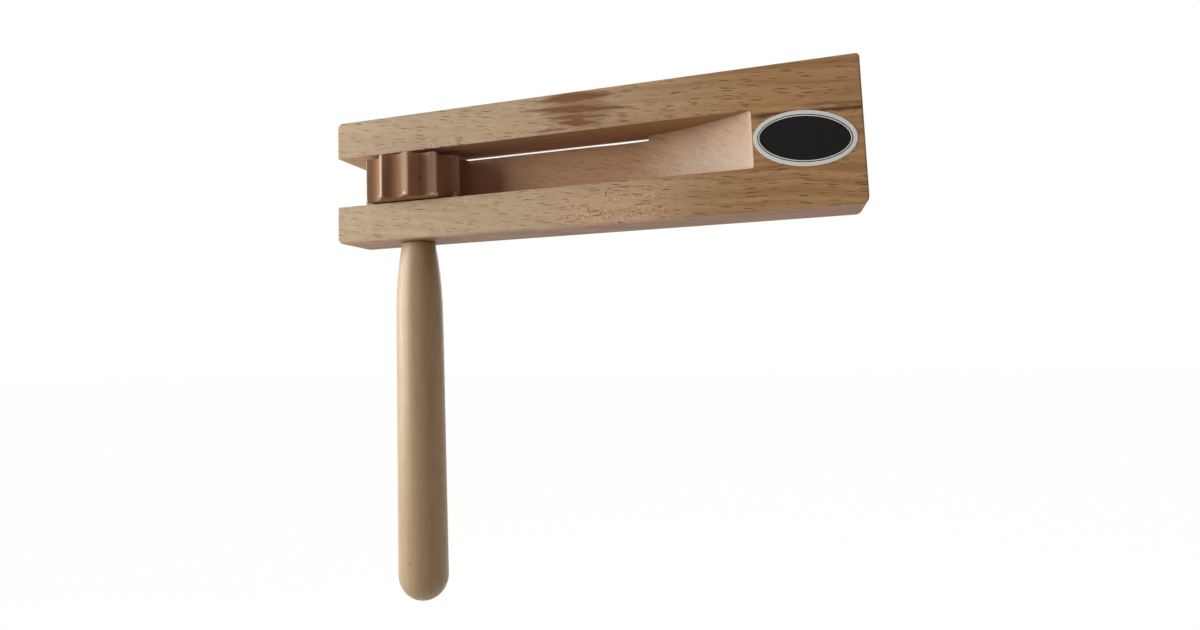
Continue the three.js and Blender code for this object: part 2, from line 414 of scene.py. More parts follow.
def mottle(tree, mm, cell, out=0, **settings):
    """Cloudy pattern with patches of this size in millimetres."""
    cells = node(tree, "ShaderNodeMapping", {"Vector": mm, "Scale": sizes(*cell)})
    return node(tree, "ShaderNodeTexNoise", {"Vector": cells, "Scale": 1, **settings}, out)


# Materials


def ray_flecks(tree, mm, on_face):
    """Share of ray flecks: thin spindles with ragged edges, each with its own thickness and strength.

    Real ray flecks are finer. They are drawn about a third of a millimetre thick, so that they show.
    """
    ragged = mottle(tree, mm, FLECK_RAGGED_CELL, "Color", Detail=2)
    ragged = {0: ragged, 1: FLECK_RAGGED, 2: mm}
    ragged = node(tree, "ShaderNodeVectorMath", ragged, operation="MULTIPLY_ADD")
    along = node(tree, "ShaderNodeSeparateXYZ", {0: ragged})
    across = {0: on_face, 2: along.node.outputs["Y"], 3: along.node.outputs["Z"]}
    across = node(tree, "ShaderNodeMix", across, data_type="FLOAT")
    face = node(tree, "ShaderNodeCombineXYZ", {0: along, 1: across})
    cells = node(tree, "ShaderNodeMapping", {"Vector": face, "Scale": sizes(*FLECK_CELL)})
    distance = node(tree, "ShaderNodeTexVoronoi", {"Vector": cells, "Scale": 1}, voronoi_dimensions="2D")
    draw = node(tree, "ShaderNodeSeparateColor", {0: distance.node.outputs["Color"]})
    edge = node(tree, "ShaderNodeMapRange", {0: draw, 3: 0.12, 4: 0.36})
    core = node(tree, "ShaderNodeMath", {0: edge, 1: 0.4}, operation="MULTIPLY")
    fleck = {0: distance, 1: edge, 2: core}
    fleck = node(tree, "ShaderNodeMapRange", fleck, interpolation_type="SMOOTHSTEP")
    strength = node(tree, "ShaderNodeMapRange", {0: draw.node.outputs[1], 1: 0.15, 2: 0.7})
    return where_all(tree, fleck, strength)


def beech_figure(tree, mm, turn, sweep=0, face_depth=0, ring_lean=0):
    """Marks of beech as shares from 0 to 1, with the grain along X once it is turned, swept and leant.

    Flecks lie on the faces, and nearer the middle than the faces' depth they lie on the narrow edges.
    Real pores are finer. They are drawn coarser, so that they show.
    """
    mm = node(tree, "ShaderNodeMapping", {"Vector": mm, "Rotation": turn})
    x = node(tree, "ShaderNodeSeparateXYZ", {0: mm})
    y = x.node.outputs["Y"]
    depth = node(tree, "ShaderNodeMath", {0: y}, operation="ABSOLUTE")
    on_face = node(tree, "ShaderNodeMath", {0: depth, 1: face_depth}, operation="GREATER_THAN")
    swept = node(tree, "ShaderNodeMath", {0: x, 1: GRAIN_SWEEP_X}, operation="SUBTRACT")
    swept = node(tree, "ShaderNodeMath", {0: swept, 1: 0}, operation="MINIMUM")
    swept = node(tree, "ShaderNodeMath", {0: swept, 1: 2}, operation="POWER")
    leant = node(tree, "ShaderNodeMath", {0: y, 1: ring_lean}, operation="MULTIPLY")
    lift = node(tree, "ShaderNodeMath", {0: swept, 1: -sweep, 2: leant}, operation="MULTIPLY_ADD")
    lift = node(tree, "ShaderNodeCombineXYZ", {2: lift})
    mm = node(tree, "ShaderNodeVectorMath", {0: lift, 1: mm}, operation="ADD")
    wander = mottle(tree, mm, GRAIN_WANDER_CELL, "Color", Detail=2)
    bent = node(tree, "ShaderNodeVectorMath", {0: wander, 1: GRAIN_WANDER, 2: mm}, operation="MULTIPLY_ADD")
    streak = mottle(tree, bent, STREAK_CELL, Detail=4, Roughness=0.6)
    streak = {0: streak, 1: 0.32, 2: 0.68}
    streak = node(tree, "ShaderNodeMapRange", streak, interpolation_type="SMOOTHSTEP")
    cloud = mottle(tree, bent, CLOUD_CELL, Detail=3)
    cloud = node(tree, "ShaderNodeMapRange", {0: cloud, 1: 0.35, 2: 0.7})
    pore = mottle(tree, bent, PORE_CELL, Detail=3, Roughness=0.65)
    pore = node(tree, "ShaderNodeMapRange", {0: pore, 1: 0.5, 2: 0.72})
    fleck = ray_flecks(tree, bent, on_face)
    return {"streak": streak, "cloud": cloud, "pore": pore, "fleck": fleck}


def heartwood_stain(tree, mm):
    """Share of a heartwood stain across the upper arm: pointed fingers along the grain in a faint haze."""
    wander = mottle(tree, mm, STAIN_CELL, "Color", Detail=4, Roughness=0.6)
    wander = node(tree, "ShaderNodeVectorMath", {0: wander, 1: (0.5, 0.5, 0.5)}, operation="SUBTRACT")
    bent = node(tree, "ShaderNodeVectorMath", {0: wander, 1: STAIN_WANDER, 2: mm}, operation="MULTIPLY_ADD")
    x = node(tree, "ShaderNodeSeparateXYZ", {0: bent})
    y, z = x.node.outputs["Y"], x.node.outputs["Z"]
    stain = 0.0
    for left, left_z, right, right_z, half, strength in STAIN_FINGERS:
        span = {0: x, 1: left, 2: right}
        along = node(tree, "ShaderNodeMapRange", {**span, 3: -1, 4: 1}, clamp=False)
        along = node(tree, "ShaderNodeMath", {0: along}, operation="ABSOLUTE")
        along = node(tree, "ShaderNodeMath", {0: along, 1: FINGER_POINT}, operation="POWER")
        middle = node(tree, "ShaderNodeMapRange", {**span, 3: left_z, 4: right_z}, clamp=False)
        off = {0: away_from(tree, z, middle), 1: 1 / half, 2: along}
        off = node(tree, "ShaderNodeMath", off, operation="MULTIPLY_ADD")
        finger = {0: off, 1: 1.15, 2: 0.45, 4: strength}
        finger = node(tree, "ShaderNodeMapRange", finger, interpolation_type="SMOOTHSTEP")
        stain = node(tree, "ShaderNodeMath", {0: finger, 1: stain}, operation="MAXIMUM")
    fade = node(tree, "ShaderNodeMapRange", {0: y, 1: front_y, 2: back_y, 3: 1, 4: STAIN_AT_BACK})
    return where_all(tree, stain, fade)


def dark_streak(tree, x, z, height, start, half_width):
    """Share of a dark growth line that sinks and swells on its way to the solid end."""
    place = node(tree, "ShaderNodeMath", {0: x, 1: DARK_STREAK_SPACING}, operation="DIVIDE")
    wander = node(tree, "ShaderNodeTexNoise", {"W": place, "Scale": 1, "Detail": 2}, noise_dimensions="1D")
    middle = {0: x, 1: start, 2: right_x, 3: height, 4: height - DARK_STREAK_SINK}
    middle = node(tree, "ShaderNodeMapRange", middle)
    middle = {0: wander, 1: DARK_STREAK_WANDER, 2: middle}
    middle = node(tree, "ShaderNodeMath", middle, operation="MULTIPLY_ADD")
    widest, thinnest = half_width * DARK_STREAK_WIDEST, half_width * DARK_STREAK_THINNEST
    edge = node(tree, "ShaderNodeMapRange", {0: wander, 1: 0.3, 2: 0.7, 3: widest, 4: thinnest})
    line = {0: away_from(tree, z, middle), 1: edge, 2: DARK_STREAK_CORE}
    line = node(tree, "ShaderNodeMapRange", line, interpolation_type="SMOOTHSTEP")
    begun = {0: x, 1: start - DARK_STREAK_FADE_BEFORE, 2: start + DARK_STREAK_FULL_AFTER}
    begun = node(tree, "ShaderNodeMapRange", begun)
    return where_all(tree, line, begun)


def sawn_end(tree, mm):
    """Growth rings and pores of the sawn ends, as shares.

    Real pores are finer. They are drawn about a third of a millimetre wide, so that they show.
    """
    # A wave texture of scale 1 repeats at this distance
    wave_length = math.pi / 10
    cells = node(tree, "ShaderNodeVectorMath", {0: mm, 1: PITH_AWAY}, operation="ADD")
    cells = node(tree, "ShaderNodeMapping", {"Vector": cells, "Scale": (wave_length / RING_SPACING,) * 3})
    ring = {"Vector": cells, "Scale": 1, "Distortion": 3.0, "Detail": 2, "Detail Scale": 0.5}
    kind = {"wave_type": "RINGS", "rings_direction": "X", "wave_profile": "SAW"}
    ring = node(tree, "ShaderNodeTexWave", ring, "Fac", **kind)
    cells = node(tree, "ShaderNodeMapping", {"Vector": mm, "Scale": sizes(*END_PORE_CELL)})
    pore = node(tree, "ShaderNodeTexVoronoi", {"Vector": cells, "Scale": 1})
    pore = node(tree, "ShaderNodeMapRange", {0: pore, 1: 0.4, 2: 0.15})
    return ring, pore


def torn_grit(tree, mm, x, z, on_face):
    """Shares of torn wood, of its dark pits and of its pale loose fibre.

    The plane has torn the lower arm a little, in clusters, and the saw has torn a stretch of the slot.
    """
    grit = mottle(tree, mm, GRIT_CELL, Detail=2)
    cluster = mottle(tree, mm, GRIT_CLUSTER_CELL)
    cluster = node(tree, "ShaderNodeMapRange", {0: cluster, 1: 0.45, 2: 0.6})
    torn = {0: away_from(tree, x, TORN_X), 1: TORN_REACH, 2: TORN_REACH / 3}
    torn = node(tree, "ShaderNodeMapRange", torn)
    low = node(tree, "ShaderNodeMapRange", {0: z, 1: slot_foot, 2: slot_foot - TORN_BELOW_SLOT})
    torn = where_all(tree, torn, low, on_face)
    middle = (TEAR_FROM_X + TEAR_TO_X) / 2
    at_tear = node(tree, "ShaderNodeMath", {0: x, 1: middle, 2: TEAR_TO_X - middle}, operation="COMPARE")
    above = {0: z, 1: slot_top + TEAR_MARK_ABOVE_SLOT, 2: TEAR_MARK_HALF}
    above = node(tree, "ShaderNodeMath", above, operation="COMPARE")
    at_tear = where_all(tree, at_tear, above, on_face)
    clumps = {0: where_all(tree, torn, cluster), 1: at_tear}
    clumps = node(tree, "ShaderNodeMath", clumps, operation="MAXIMUM")
    pit = node(tree, "ShaderNodeMapRange", {0: grit, 1: 0.54, 2: 0.62, 4: clumps})
    loose = node(tree, "ShaderNodeMath", {0: torn, 1: at_tear}, operation="MAXIMUM")
    fibre = node(tree, "ShaderNodeMapRange", {0: grit, 1: 0.42, 2: 0.32, 4: loose})
    return torn, pit, fibre


def planed_beech():
    """Planed and sanded beech under thin oil: dark ray flecks, a heartwood stain and dark streaks."""
    material, tree = new_material("planed_beech")
    mm = node(tree, "ShaderNodeAttribute", out="Vector", attribute_name=WOOD_PLACE)
    figure = beech_figure(tree, mm, (0, GRAIN_LEAN, 0), GRAIN_SWEEP, back_y - FLECK_SKIN)
    x = node(tree, "ShaderNodeSeparateXYZ", {0: mm})
    y, z = x.node.outputs["Y"], x.node.outputs["Z"]

    # The faces were planed. The narrow edges and the ends were only sanded
    depth = node(tree, "ShaderNodeMath", {0: y}, operation="ABSOLUTE")
    on_face = node(tree, "ShaderNodeMapRange", {0: depth, 1: back_y - FACE_FADE, 2: back_y - FACE_SKIN})
    edge = node(tree, "ShaderNodeMath", {0: 1.0, 1: on_face}, operation="SUBTRACT")
    # The edges' reddish stain is partly the sanded wood's colour and partly painted warm shade on the
    # undersides. It is weaker towards the left end, painted light where the handle shades the lower arm
    edge_stain_and_painted_shade = {0: x, 1: EDGE_TINT_FROM_X, 2: EDGE_TINT_TO_X, 3: 0.5, 4: 0.75}
    edge_stain_and_painted_shade = node(tree, "ShaderNodeMapRange", edge_stain_and_painted_shade)
    left_end = node(tree, "ShaderNodeMapRange", {0: x, 1: left_x + LEFT_END_SKIN, 2: left_x})
    right_end = node(tree, "ShaderNodeMapRange", {0: x, 1: right_x - RIGHT_END_SKIN, 2: right_x})
    end_grain = node(tree, "ShaderNodeMath", {0: left_end, 1: right_end}, operation="MAXIMUM")
    ring, end_pore = sawn_end(tree, mm)
    to_right = node(tree, "ShaderNodeMapRange", {0: x, 1: PALE_TO_X, 2: WARM_FROM_X})
    darker = node(tree, "ShaderNodeMapRange", {0: to_right, 3: 0.75, 4: 0.95})
    marked = node(tree, "ShaderNodeMapRange", {0: on_face, 3: 0.5, 4: 1.0})
    along = node(tree, "ShaderNodeMath", {0: 1.0, 1: end_grain}, operation="SUBTRACT")
    fleck = where_all(tree, figure["fleck"], darker, marked, along)
    torn, pit, fibre = torn_grit(tree, mm, x, z, on_face)

    pale = stained(tree, linear("#c0ae92"), [("#ae9878", 0.6, figure["streak"])])
    warm = stained(tree, linear("#b18e64"), [("#916c44", figure["streak"])])
    colour = node(tree, "ShaderNodeMix", {0: to_right, 6: pale, 7: warm}, 2, data_type="RGBA")
    stains = [
        ("#a87b52", edge_stain_and_painted_shade, edge),
        ("#845a36", 0.7, edge, figure["streak"]),
        ("#a4845f", 0.3, figure["cloud"]),
        ("#744520", 0.9, heartwood_stain(tree, mm)),
    ]
    for height, start, half_width, tint, strength in DARK_STREAKS:
        stains.append((tint, strength, dark_streak(tree, x, z, height, start, half_width)))
    stains += [
        ("#86643f", 0.3, figure["pore"]),
        ("#cfae8c", 0.45, torn),
        ("#5f3f25", 0.85, pit),
        ("#dcc7a6", 0.6, fibre),
        ("#5a3d24", fleck),
        ("#84705a", 0.6, end_grain),
        ("#6d5238", 0.4, ring, end_grain),
        ("#5a4330", 0.35, end_pore, end_grain),
    ]
    height = node(tree, "ShaderNodeMath", {0: fleck, 1: -0.8, 2: figure["cloud"]}, operation="MULTIPLY_ADD")
    height = node(tree, "ShaderNodeMath", {0: fibre, 1: 0.8, 2: height}, operation="MULTIPLY_ADD")
    dull = (on_face, 0.55, 0.42)
    bump = (height, 0.3, 0.1)
    finish_material(tree, colour, stains, dull, bump, Specular_IOR_Level=0.3)
    return material


def milled_beech():
    """Beech left raw by cutter and saw: dull, reddish along the grain, pale where the ramp crosses it."""
    material, tree = new_material("milled_beech")
    mm = node(tree, "ShaderNodeAttribute", out="Vector", attribute_name=WOOD_PLACE)
    figure = beech_figure(tree, mm, (0, 2 * GRAIN_LEAN, 0), ring_lean=RING_LEAN)
    x = node(tree, "ShaderNodeSeparateXYZ", {0: mm})
    z = x.node.outputs["Z"]
    height = node(tree, "ShaderNodeMapRange", {0: z, 1: slot_foot, 2: slot_top})
    depth = node(tree, "ShaderNodeMath", {0: 1.0, 1: height}, operation="SUBTRACT")
    middle = (slot_foot + slot_top) / 2
    half = (slot_top - slot_foot) / 2
    wall = {0: away_from(tree, z, middle), 1: half - WALL_FROM_CORNER, 2: half - WALL_TO_CORNER}
    wall = node(tree, "ShaderNodeMapRange", wall)
    on_floor = node(tree, "ShaderNodeMath", {0: 1.0, 1: wall}, operation="SUBTRACT")
    across = {0: x, 1: ACROSS_GRAIN_FROM_X, 2: ACROSS_GRAIN_TO_X}
    across = node(tree, "ShaderNodeMapRange", across, interpolation_type="SMOOTHSTEP")
    fainter = node(tree, "ShaderNodeMapRange", {0: across, 3: 1.0, 4: 0.45})
    lip = {0: x, 1: scoop_end_x - SCOOP_LIP, 2: scoop_end_x - SCOOP_LIP / 2}
    lip = node(tree, "ShaderNodeMapRange", lip)
    near = {}
    for stretch, (start, full) in GROOVE_TINTS.items():
        near[stretch] = node(tree, "ShaderNodeMapRange", {0: x, 1: start, 2: full})
    stains = [
        ("#ad8360", 0.6, figure["streak"]),
        ("#bcaa97", 0.9, across, on_floor),
        # Painted shade on the ramp's top, under the upper arm
        ("#8f6a40", 0.5, near["ramp top painted shade"], height, on_floor),
        ("#d2c6ba", 0.5, near["ramp foot"], depth, on_floor),
        ("#cdb096", 0.3, figure["cloud"]),
        ("#94694a", 0.35, figure["pore"]),
        ("#70492f", 0.65, figure["fleck"], fainter, on_floor),
        ("#c9b9a6", 0.5, lip),
        # Painted light on the tongue and beside the cog, in the cog's shade
        ("#dcba94", 0.4, near["tongue"], on_floor),
        ("#e6d5bf", 0.5, near["cog side painted light"], on_floor),
        ("#8f6440", 0.45, wall),
        # Painted light at the fork's open mouth
        ("#ddc9ae", 0.8, near["fork mouth painted light"]),
    ]
    dull = (figure["pore"], 0.7, 0.85)
    bump = (mottle(tree, mm, CUTTER_WAVE_CELL, Detail=2), 0.25, 0.1)
    finish_material(tree, linear("#c19c7a"), stains, dull, bump, Specular_IOR_Level=0.1)
    return material


def turned_beech():
    """Turned and finely sanded pale wood with the grain along the handle: silky, with one small nick."""
    material, tree = new_material("turned_beech")
    mm = object_places(tree)
    figure = beech_figure(tree, mm, UPRIGHT_GRAIN)
    nick = node(tree, "ShaderNodeVectorMath", {0: mm, 1: NICK_PLACE}, operation="SUBTRACT")
    nick = node(tree, "ShaderNodeVectorMath", {0: nick, 1: NICK_SIZE}, operation="DIVIDE")
    nick = node(tree, "ShaderNodeVectorMath", {0: nick}, "Value", operation="LENGTH")
    nick = node(tree, "ShaderNodeMapRange", {0: nick, 1: 1.0, 2: 0.4})
    stains = [
        ("#9f896b", 0.8, figure["streak"]),
        ("#c2b498", 0.15, figure["cloud"]),
        ("#83684b", 0.2, figure["fleck"]),
        ("#5c3a26", 0.6, nick),
    ]
    dull = (figure["streak"], 0.36, 0.44)
    bump = (figure["pore"], 0.12, 0.08)
    finish_material(tree, linear("#a8936f"), stains, dull, bump, Specular_IOR_Level=0.4)
    return material


def fluted_beech():
    """Fluted beech rod, sawn to length: smooth reddish gullets, and greyish slopes and pale lands that are
    partly worn wood and partly painted highlight.
    """
    material, tree = new_material("fluted_beech")
    mm = object_places(tree)
    figure = beech_figure(tree, mm, UPRIGHT_GRAIN)
    flat = node(tree, "ShaderNodeVectorMath", {0: mm, 1: (1, 1, 0)}, operation="MULTIPLY")
    radius = node(tree, "ShaderNodeVectorMath", {0: flat}, "Value", operation="LENGTH")
    under_tip = node(tree, "ShaderNodeMath", {0: COG_TIP_RADIUS, 1: radius}, operation="SUBTRACT")
    # Shares near the tip circle for greyish slopes and pale lands: partly worn wood, partly painted
    # highlight where light strikes the teeth
    land = node(tree, "ShaderNodeMapRange", {0: under_tip, 1: LAND_FADE, 2: LAND_SKIN})
    slope = node(tree, "ShaderNodeMapRange", {0: under_tip, 1: SLOPE_FADE, 2: SLOPE_SKIN})
    stains = [
        ("#886348", 0.8, figure["streak"]),
        ("#63432f", 0.3, figure["fleck"]),
        ("#9c8878", 0.6, slope),
        ("#c4ae8e", 0.6, land),
    ]
    dull = (figure["pore"], 0.65, 0.8)
    bump = (figure["pore"], 0.2, 0.1)
    finish_material(tree, linear("#947158"), stains, dull, bump, Specular_IOR_Level=0.15)
    return material


def torn_fibre():
    """Loose beech fibre torn by the saw: pale, dry and matt."""
    material, tree = new_material("torn_fibre")
    fuzz = mottle(tree, object_places(tree), FUZZ_CELL, Detail=3)
    stains = [("#cfb898", 0.9, fuzz)]
    dull = (fuzz, 0.75, 0.95)
    bump = (fuzz, 0.3, 0.1)
    finish_material(tree, linear("#f2e6d2"), stains, dull, bump, Specular_IOR_Level=0.1)
    return material


def oxidised_steel():
    """Drawn wire brad with a pressed head, gone dull brown with age."""
    material, tree = new_material("oxidised_steel")
    rust = mottle(tree, object_places(tree), RUST_CELL, Detail=3)
    stains = [("#2f2522", rust)]
    dull = (rust, 0.45, 0.7)
    bump = (rust, 0.3, 0.04)
    finish_material(tree, linear("#4a3f38"), stains, dull, bump, Metallic=1.0)
    return material


def printed_vinyl(name, first, second, gloss):
    """Printed vinyl film with a satin laminate: faintly mottled ink, and handling marks in the gloss."""
    material, tree = new_material(name)
    ink = mottle(tree, object_places(tree), INK_CELL, Detail=5, Roughness=0.65)
    stains = [(second, ink)]
    dull = (ink, 0.4, 0.55)
    bump = (ink, 0.1, 0.03)
    finish_material(tree, linear(first), stains, dull, bump, Specular_IOR_Level=gloss)
    return material


def seen_directly(tree):
    """1 for rays that look straight at the background, or see it in metal or through glass."""
    camera = node(tree, "ShaderNodeLightPath")
    glossy = camera.node.outputs["Is Glossy Ray"]
    through = camera.node.outputs["Is Transmission Ray"]
    seen = node(tree, "ShaderNodeMath", {0: camera, 1: glossy}, operation="MAXIMUM")
    return node(tree, "ShaderNodeMath", {0: seen, 1: through}, operation="MAXIMUM")


def pale_floor():
    """Matt white studio floor. It looks white and keeps a trace of the object's shadow."""
    material, tree = new_material("pale_floor")
    share = where_all(tree, seen_directly(tree), FLOOR_WHITE_SHARE)
    matt = node(tree, "ShaderNodeBsdfDiffuse", {"Color": linear("#cbcac8")})
    white = node(tree, "ShaderNodeEmission", {"Color": (1, 1, 1, 1), "Strength": FLOOR_WHITE})
    surface = node(tree, "ShaderNodeMixShader", {0: share, 1: matt, 2: white})
    node(tree, "ShaderNodeOutputMaterial", {"Surface": surface})
    return material


# Meshes


def add_object(name, data):
    made = bpy.data.objects.new(name, data)
    bpy.context.scene.collection.objects.link(made)
    return made


def face_out(mesh):
    """Turns every face of a mesh to point out."""
    shape = bmesh.new()
    shape.from_mesh(mesh)
    bmesh.ops.recalc_face_normals(shape, faces=shape.faces)
    shape.to_mesh(mesh)
    shape.free()


def mesh_object(name, vertices, faces, materials):
    """Makes an object from points in millimetres, with its faces pointing out."""
    mesh = bpy.data.meshes.new(name)
    mesh.from_pydata([Vector(v) * MM for v in vertices], [], faces)
    for material in materials:
        mesh.materials.append(material)
    face_out(mesh)
    return add_object(name, mesh)


def loft(name, rings, materials, poles=(None, None)):
    """Joins rings of equally many points into a closed skin. An end closes on its pole, or flat."""
    count = len(rings[0])
    vertices = [point for ring in rings for point in ring]
    faces = []
    for i in range(len(rings) - 1):
        for j in range(count):
            k = (j + 1) % count
            faces.append((i * count + j, i * count + k, (i + 1) * count + k, (i + 1) * count + j))
    for pole, start in zip(poles, (0, (len(rings) - 1) * count)):
        rim = list(range(start, start + count))
        if pole is None:
            faces.append(rim)
            continue
        vertices.append(pole)
        faces += [(rim[j], rim[(j + 1) % count], len(vertices) - 1) for j in range(count)]
    return mesh_object(name, vertices, faces, materials)


def settle(piece):
    """Turns a piece and its modifiers into one plain mesh."""
    evaluated = piece.evaluated_get(bpy.context.evaluated_depsgraph_get())
    mesh = bpy.data.meshes.new_from_object(evaluated)
    piece.modifiers.clear()
    piece.data = mesh


def smooth(piece):
    """Shades a piece smooth across shallow edges only, with its flat faces kept flat."""
    piece.data.shade_smooth()
    piece.data.set_sharp_from_angle(angle=SMOOTH_ANGLE)
    weighted = piece.modifiers.new("flat_faces", "WEIGHTED_NORMAL")
    weighted.keep_sharp = True
    settle(piece)


def keep_places(piece):
    """Stores where each point of the wood lies, in millimetres, so that its figure bends with it."""
    places = piece.data.attributes.new(WOOD_PLACE, "FLOAT_VECTOR", "POINT")
    places.data.foreach_set("vector", [share / MM for point in piece.data.vertices for share in point.co])


def carve(piece, cutters):
    """Cuts a piece with cutters, which give the cut faces their material and are then removed."""
    for cutter in cutters:
        cut = piece.modifiers.new("cut", "BOOLEAN")
        cut.operation = "DIFFERENCE"
        cut.solver = "EXACT"
        cut.material_mode = "TRANSFER"
        cut.object = cutter
    settle(piece)
    for cutter in cutters:
        bpy.data.objects.remove(cutter)


def section(x, low, high, radii):
    """Rounded rectangle across the grain at x. Radii run front foot, back foot, back top, front top."""
    corners = ((low, low), (high, low), (high, high), (low, high))
    ring = []
    for quarter, (radius, (side_y, side_z)) in enumerate(zip(radii, corners)):
        middle_y = side_y[0] + (radius if side_y is low else -radius)
        middle_z = side_z[1] + (radius if side_z is low else -radius)
        for step in range(CORNER_STEPS + 1):
            angle = math.pi + (quarter + step / CORNER_STEPS) * math.pi / 2
            ring.append((x, middle_y + radius * math.cos(angle), middle_z + radius * math.sin(angle)))
    return ring


def inset_at(distance, radius):
    """How far a rounded end draws in at this distance from its end face."""
    if distance >= radius:
        return 0
    return radius - math.sqrt(radius**2 - (radius - distance) ** 2)


def end_distances(radius):
    """Distances from an end face at which its rounding gets a ring."""
    return [radius * (1 - math.cos(math.pi / 2 * step / END_STEPS)) for step in range(END_STEPS)]


def groove_floor(x):
    """Y of the groove's floor: flat behind the cog, then the cutter's arc that comes out at the front."""
    if x <= ramp_start_x:
        return floor_y
    return cutter_y + math.sqrt(CUTTER_RADIUS**2 - (x - ramp_start_x) ** 2)


def plain_bar(material):
    """The bar before it is cut, with sanded edges. The front foot edge wanders a little."""
    middle_start = left_x + ARM_END_ROUND
    middle_end = right_x - RIGHT_FOOT_ROUND
    count = round((middle_end - middle_start) / BLOCK_STATION)
    stations = [left_x + d for d in end_distances(ARM_END_ROUND)]
    stations += [middle_start + (middle_end - middle_start) * i / count for i in range(count + 1)]
    stations += [right_x - d for d in reversed(end_distances(RIGHT_FOOT_ROUND))]
    rings = []
    for x in stations:
        from_left, from_right = x - left_x, right_x - x
        arm_end = inset_at(from_left, ARM_END_ROUND)
        side = inset_at(from_left, ARM_SIDE_ROUND) + inset_at(from_right, RIGHT_SIDE_ROUND)
        foot = arm_end + inset_at(from_right, RIGHT_FOOT_ROUND)
        top = arm_end + inset_at(from_right, RIGHT_TOP_ROUND)
        low = (front_y + side, block_low.z + foot)
        high = (back_y - side, block_high.z - top)
        wander = FRONT_FOOT_WANDER * noise.noise(Vector((x / WANDER_SPACING, 0, 0)))
        drawn_in = max(END_ROUND_LEAST, 1 - side / LONG_EDGE_ROUND * END_ROUND_SHRINK)
        radii = [(FRONT_FOOT_ROUND + wander) * drawn_in] + [LONG_EDGE_ROUND * drawn_in] * 3
        rings.append(section(x, low, high, radii))
    return loft("block", rings, [material])


def slot_cutter(material):
    """Fork, groove and ramp as one upright cutter."""
    exit_y = front_y - LONG_EDGE_ROUND
    last_angle = math.asin((exit_y - cutter_y) / CUTTER_RADIUS)
    first_angle = math.acos((kerf_end_x - ramp_start_x) / CUTTER_RADIUS)
    plan = [(left_x - cut_margin, exit_y), (left_x - cut_margin, back_y + cut_margin)]
    plan.append((kerf_end_x, back_y + cut_margin))
    for step in range(ARC_STEPS + 1):
        angle = first_angle + (last_angle - first_angle) * step / ARC_STEPS
        x, y = CUTTER_RADIUS * math.cos(angle), CUTTER_RADIUS * math.sin(angle)
        plan.append((ramp_start_x + x, cutter_y + y))
    rings = [[(x, y, z) for x, y in plan] for z in (slot_foot, slot_top)]
    return loft("slot_cutter", rings, [material])


def round_over(start, end, first, second, radius_at, material):
    """Cutter that rounds an edge. The two directions lie in the faces that meet there, into the wood."""
    start, end = Vector(start), Vector(end)
    first, second = Vector(first), Vector(second)
    count = max(1, round((end - start).length / EDGE_STATION))
    rings = []
    for i in range(count + 1):
        corner = start.lerp(end, i / count)
        radius = radius_at(corner)
        reach = CUTTER_SLACK * radius
        ring = [corner - first - second]
        ring.append(corner - first + second * radius)
        for step in range(CORNER_STEPS + 1):
            angle = math.pi + math.pi / 2 * step / CORNER_STEPS
            along_first = first * (radius + reach * math.cos(angle))
            along_second = second * (radius + reach * math.sin(angle))
            ring.append(corner + along_first + along_second)
        ring.append(corner + first * radius - second)
        rings.append(ring)
    return loft("round_over", rings, [material])


def torn_edge(corner):
    """Rounding of the slot's upper front edge, with small tears where the saw came out."""
    rough = noise.noise(Vector((corner.x / TEAR_SPACING, TEAR_SEED, 0)))
    inside = TEAR_FROM_X < corner.x < TEAR_TO_X
    return SLOT_EDGE_ROUND + max(0, rough) * (TEAR_DEPTH if inside else OUTER_TEAR_DEPTH)


def worn_edge(corner):
    return SLOT_EDGE_ROUND + SLOT_EDGE_WANDER * noise.noise(corner / WANDER_SPACING)


def mouth_edge(corner):
    return UPPER_MOUTH_ROUND if corner.z == slot_top else LOWER_MOUTH_ROUND


def edge_cutters(material):
    """Round-overs of the slot's edges on both faces and on the arms' ends."""
    start_x = left_x - CUTTER_OVERSHOOT
    before_y, behind_y = front_y - CUTTER_OVERSHOOT, back_y + CUTTER_OVERSHOOT
    cutters = []
    for z, into_wood, front_radius in ((slot_top, 1, torn_edge), (slot_foot, -1, worn_edge)):
        up = (0, 0, into_wood)
        front = ((start_x, front_y, z), (scoop_end_x, front_y, z), up, (0, 1, 0), front_radius)
        back = ((start_x, back_y, z), (kerf_end_x, back_y, z), up, (0, -1, 0), worn_edge)
        mouth = ((left_x, before_y, z), (left_x, behind_y, z), up, (1, 0, 0), mouth_edge)
        cutters += [round_over(*edge, material) for edge in (front, back, mouth)]
    return cutters


def lathe(name, profile, materials, facets, poles=(None, None), turn=None):
    """Turns a profile of (radius, height) about the Z axis, and places it with a matrix."""
    turn = turn or Matrix.Identity(4)
    rings = []
    for radius, z in profile:
        angles = [2 * math.pi * i / facets for i in range(facets)]
        rings.append([turn @ Vector((radius * math.cos(a), radius * math.sin(a), z)) for a in angles])
    placed = [pole and turn @ Vector(pole) for pole in poles]
    return loft(name, rings, materials, placed)


def bore_cutter(material):
    """Drill for the axle, flared a little where it breaks each face."""
    wide = BORE_RADIUS + 2 * BORE_FLARE
    profile = []
    for foot, top in ((block_low.z, slot_foot), (slot_top, block_high.z)):
        profile += [(wide, foot - BORE_FLARE), (BORE_RADIUS, foot + BORE_FLARE)]
        profile += [(BORE_RADIUS, top - BORE_FLARE), (wide, top + BORE_FLARE)]
    return lathe("bore_cutter", profile, [material], ROUND_FACETS)


def beech_block(planed, milled):
    """The bar with its slot, its eased edges and its bores."""
    block = plain_bar(planed)
    carve(block, [slot_cutter(milled), *edge_cutters(planed), bore_cutter(milled)])
    smooth(block)
    keep_places(block)
    return block


